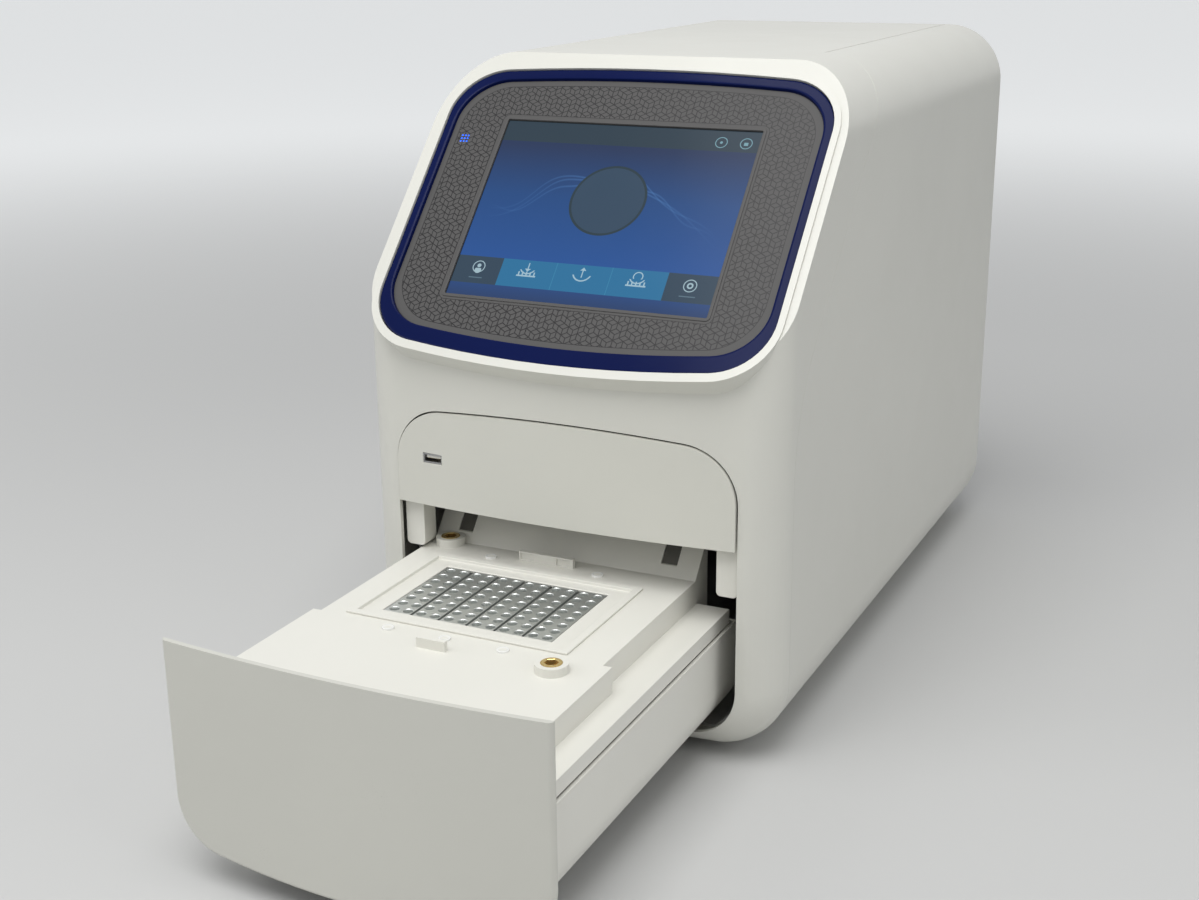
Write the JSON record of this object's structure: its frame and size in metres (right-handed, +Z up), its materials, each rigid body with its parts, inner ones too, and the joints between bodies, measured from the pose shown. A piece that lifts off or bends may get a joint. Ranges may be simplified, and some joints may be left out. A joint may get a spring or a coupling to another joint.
{
  "type": "real-time PCR machine",
  "caption": "Benchtop real-time PCR machine with a tilted touch screen, a powered sample drawer with a well block, a heated cover and filter-wheel optics.",
  "frame": {"origin": "on the bench, under the middle of the whole machine with its drawer run out", "axes": "+X to the user's right, +Y from the front to the back, +Z up"},
  "size_m": [0.274, 0.746, 0.4],
  "materials": {
    "shell": "satin",
    "fascia": "satin",
    "deck": "satin",
    "ring": "polished",
    "bezel": "matt, fine pattern",
    "screen": "glossy",
    "lights": "glossy",
    "feet": "matt",
    "sheet_steel": "satin",
    "steel": "brushed",
    "brass": "turned",
    "block": "satin",
    "ceramic": "matt",
    "aluminium": "satin",
    "black_plastic": "satin",
    "motor": "satin",
    "optics": "matt black",
    "optic_glass": "polished",
    "supply": "plain",
    "board": "satin"
  },
  "bodies": {
    "housing": {"right_side_panel": "shell", "left_side_panel": "shell", "front_top_shell": "shell", "base_plate": "sheet_steel", "feet": "feet", "rear_panel": "sheet_steel", "visor_panel": "fascia", "front_usb_socket": "steel", "bay_frame": "deck", "display_ring": "ring", "display_bezel": "bezel", "status_lights": "lights", "touch_screen": "screen", "drawer_motor": "steel", "outer_rails": "steel", "chassis": "sheet_steel", "optics_shelf": "sheet_steel", "lift_towers": "steel", "lift_motors": "motor", "optics_frame": "optics", "beam_splitter": "optic_glass", "camera_bracket": "optics", "camera_body": "optics", "camera_lens": "black_plastic", "wheel_motors": "motor", "lamp_bracket": "optics", "lamp_module": "aluminium", "condenser_lens": "optic_glass", "power_supply": "supply", "main_board": "board", "rear_sockets": "steel", "power_inlet": "black_plastic", "switch_housing": "black_plastic", "exhaust_fan_frame": "black_plastic", "case_screws": "steel"},
    "drawer": {"drawer_front": "fascia", "deck_cover": "deck", "drawer_tub": "deck", "plate_frame": "deck", "locating_bushings": "brass", "sample_block": "block", "heat_pumps": "ceramic", "heat_sink": "aluminium", "block_fan_frame": "black_plastic", "drawer_rack": "black_plastic", "inner_rails": "steel"},
    "slide_members": {"mid_rails": "steel"},
    "pinion": {"drive_pinion": "brass"},
    "block_fan": {"block_fan_rotor": "black_plastic"},
    "heated_cover": {"heated_plate": "aluminium", "cover_carriage": "aluminium", "guide_pins": "steel"},
    "left_screw": {"left_lead_screw": "steel"},
    "right_screw": {"right_lead_screw": "steel"},
    "excitation_filters": {"excitation_wheel": "optics"},
    "emission_filters": {"emission_wheel": "optics"},
    "exhaust_fan": {"exhaust_fan_rotor": "black_plastic"},
    "rocker": {"power_rocker": "black_plastic"}
  },
  "joints": [
    {"name": "drawer_slide", "type": "slide", "parent": "housing", "child": "drawer", "axis": [0, 1, 0], "range_m": [0, 0.227]},
    {"name": "slide_follow", "type": "slide", "parent": "housing", "child": "slide_members", "axis": [0, 1, 0], "range_m": [0, 0.1136]},
    {"name": "pinion_spin", "type": "hinge", "parent": "housing", "child": "pinion", "pos_m": [0.02, -0.122, 0.02495], "axis": [-1, 0, 0], "range_deg": [0, 1446]},
    {"name": "cover_lift", "type": "slide", "parent": "housing", "child": "heated_cover", "axis": [0, 0, -1], "range_m": [0, 0.0235]},
    {"name": "left_screw_spin", "type": "hinge", "parent": "housing", "child": "left_screw", "pos_m": [-0.096, 0.037, 0.18], "axis": [0, 0, -1], "range_deg": [0, 1081]},
    {"name": "right_screw_spin", "type": "hinge", "parent": "housing", "child": "right_screw", "pos_m": [0.064, 0.037, 0.18], "axis": [0, 0, -1], "range_deg": [0, 1081]},
    {"name": "excitation_spin", "type": "hinge", "parent": "housing", "child": "excitation_filters", "pos_m": [-0.016, 0.1098, 0.229], "axis": [0, 1, 0], "continuous": true},
    {"name": "emission_spin", "type": "hinge", "parent": "housing", "child": "emission_filters", "pos_m": [-0.016, 0.07, 0.3196], "axis": [0, 0, 1], "continuous": true},
    {"name": "exhaust_fan_spin", "type": "hinge", "parent": "housing", "child": "exhaust_fan", "pos_m": [-0.03, 0.3575, 0.1], "axis": [0, 1, 0], "continuous": true},
    {"name": "block_fan_spin", "type": "hinge", "parent": "drawer", "child": "block_fan", "pos_m": [-0.016, -0.1355, 0.0655], "axis": [0, 1, 0], "continuous": true},
    {"name": "rocker_tilt", "type": "hinge", "parent": "housing", "child": "rocker", "pos_m": [0.052, 0.3625, 0.112], "axis": [-1, 0, 0], "range_deg": [0, 24]}
  ],
  "couplings": [
    {"joint": "slide_follow", "follows": "drawer_slide", "ratio": 0.5},
    {"joint": "pinion_spin", "follows": "drawer_slide", "rad_per_m": 111.11},
    {"joint": "left_screw_spin", "follows": "cover_lift", "rad_per_m": 785.4},
    {"joint": "right_screw_spin", "follows": "cover_lift", "rad_per_m": 785.4}
  ]
}
